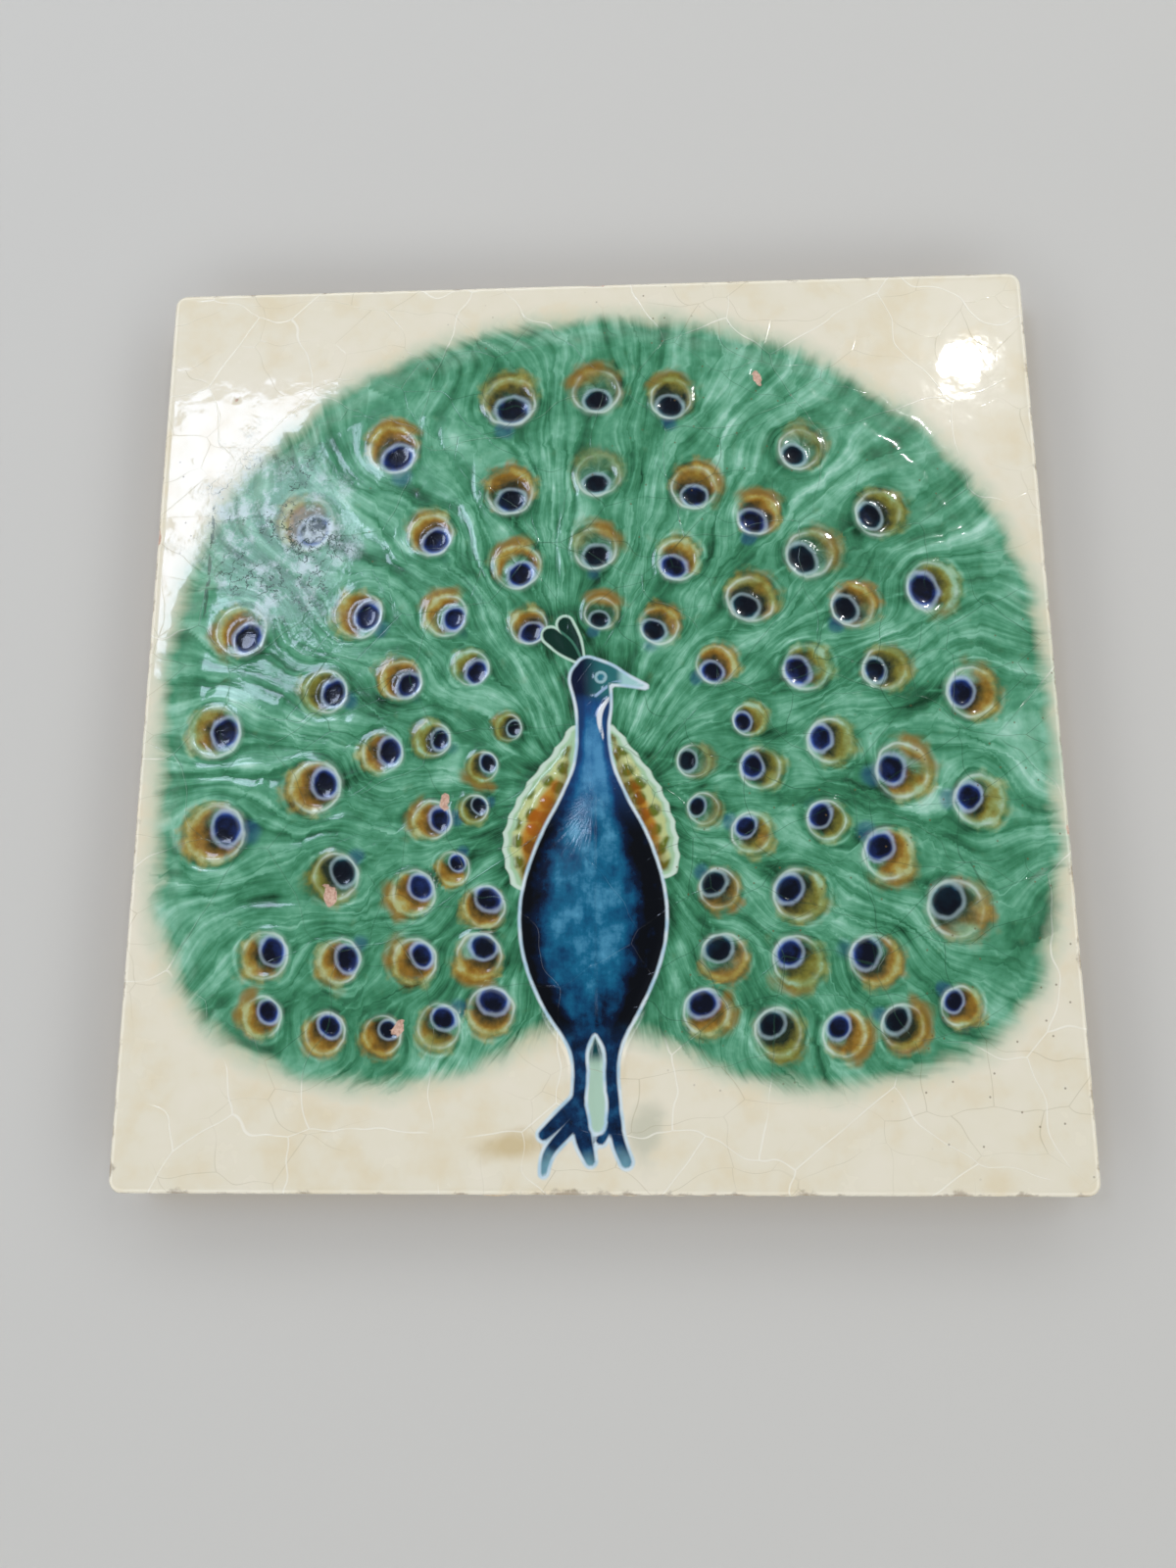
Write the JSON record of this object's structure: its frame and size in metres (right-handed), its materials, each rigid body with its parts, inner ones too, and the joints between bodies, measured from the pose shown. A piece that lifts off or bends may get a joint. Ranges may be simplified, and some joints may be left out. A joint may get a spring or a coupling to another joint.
{
  "type": "ceramic wall tile",
  "caption": "Square glazed wall tile with a moulded relief of a peacock spreading its tail, raised lines between coloured glazes, and a keyed back.",
  "frame": {"origin": "middle of the back face", "axes": "+Z out of the glazed face, +Y towards the top of the picture, +X to the picture's right"},
  "size_m": [0.1524, 0.153, 0.0116],
  "materials": {
    "glaze": "gloss"
  },
  "bodies": {
    "root": {"tile": "glaze"}
  },
  "joints": []
}
